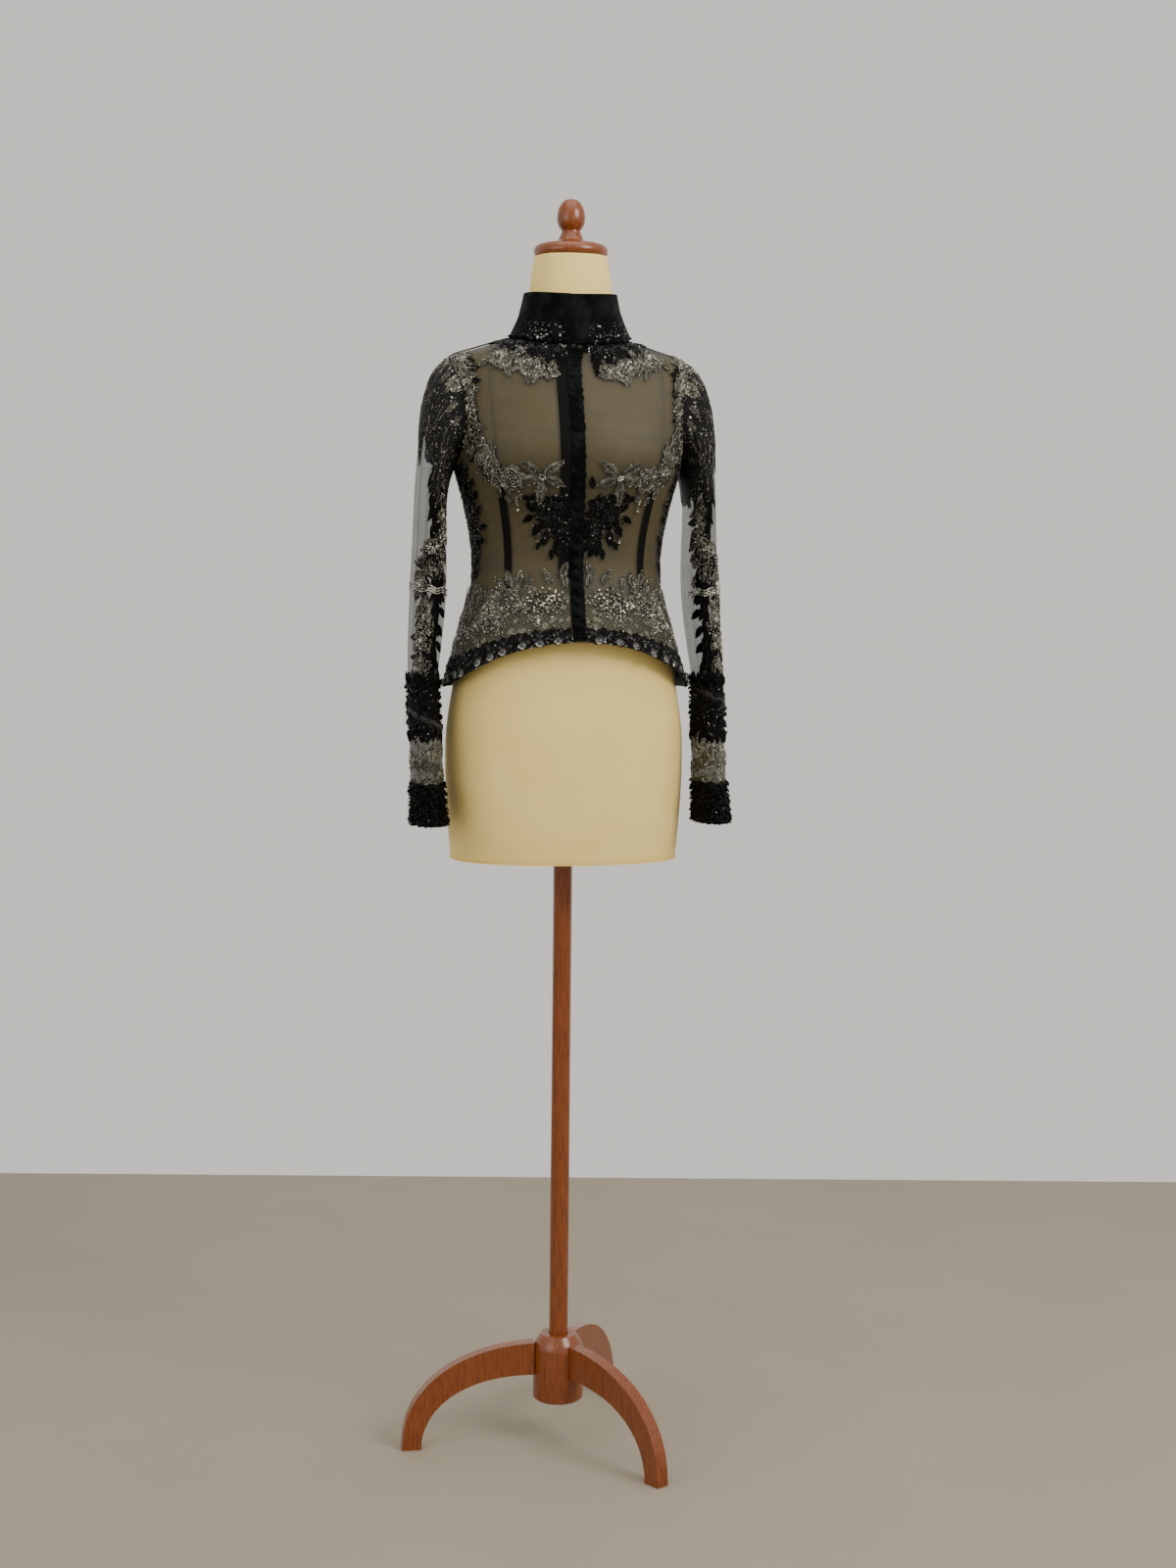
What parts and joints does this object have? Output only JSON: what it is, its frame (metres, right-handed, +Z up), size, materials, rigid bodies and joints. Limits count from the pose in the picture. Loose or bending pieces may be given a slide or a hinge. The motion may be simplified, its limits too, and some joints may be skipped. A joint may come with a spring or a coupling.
{
  "type": "kebaya blouse on a limbless dress form with a wooden stand",
  "caption": "Sheer black long-sleeved kebaya blouse with lace and beaded garlands, stand collar and buttoned front, on a limbless dress form with a wooden stand.",
  "frame": {"origin": "on the floor, under the middle of the whole part's box, which is the axis of the pole", "axes": "+Z up; the front of the blouse faces -Y; +X is the wearer's left"},
  "size_m": [0.4256, 0.378, 1.6538],
  "materials": {
    "tulle": "sheer black net",
    "black_lace": "black lace with jet beads",
    "silver_lace": "silver-olive lace with beads",
    "velvet": "black velvet",
    "tape": "matt charcoal tape",
    "form_cover": "cream cloth cover, stretched",
    "wood": "glossy orange-brown varnish"
  },
  "bodies": {
    "root": {"back": "tulle", "button_1": "velvet", "button_2": "velvet", "button_3": "velvet", "button_4": "velvet", "button_5": "velvet", "button_6": "velvet", "button_7": "velvet", "button_8": "velvet", "centre_front_left": "tulle", "centre_front_right": "tulle", "centre_lace_left": "black_lace", "centre_lace_right": "black_lace", "collar": "velvet", "cuff_left": "black_lace", "cuff_right": "black_lace", "dress_form": "form_cover", "facing_strip": "tape", "forearm_lace_left": "black_lace", "forearm_lace_right": "black_lace", "garland_left": "silver_lace", "garland_right": "silver_lace", "hem_lace_back": "black_lace", "hem_lace_left": "black_lace", "hem_lace_right": "black_lace", "hip_lace_back": "silver_lace", "hip_lace_left": "silver_lace", "hip_lace_right": "silver_lace", "neck_cap": "wood", "neck_garland_left": "silver_lace", "neck_garland_right": "silver_lace", "neckline_lace": "black_lace", "pole": "wood", "seam_tape_left": "tape", "seam_tape_right": "tape", "side_front_left": "tulle", "side_front_right": "tulle", "side_lace_left": "black_lace", "side_lace_right": "black_lace", "sleeve_head_leaves_left": "black_lace", "sleeve_head_leaves_right": "black_lace", "sleeve_left": "tulle", "sleeve_right": "tulle", "sleeve_vine_left": "silver_lace", "sleeve_vine_right": "silver_lace", "stand_hub": "wood", "stand_leg_1": "wood", "stand_leg_2": "wood", "stand_leg_3": "wood", "velvet_strip": "velvet", "wrist_lace_left": "silver_lace", "wrist_lace_right": "silver_lace"}
  },
  "joints": []
}
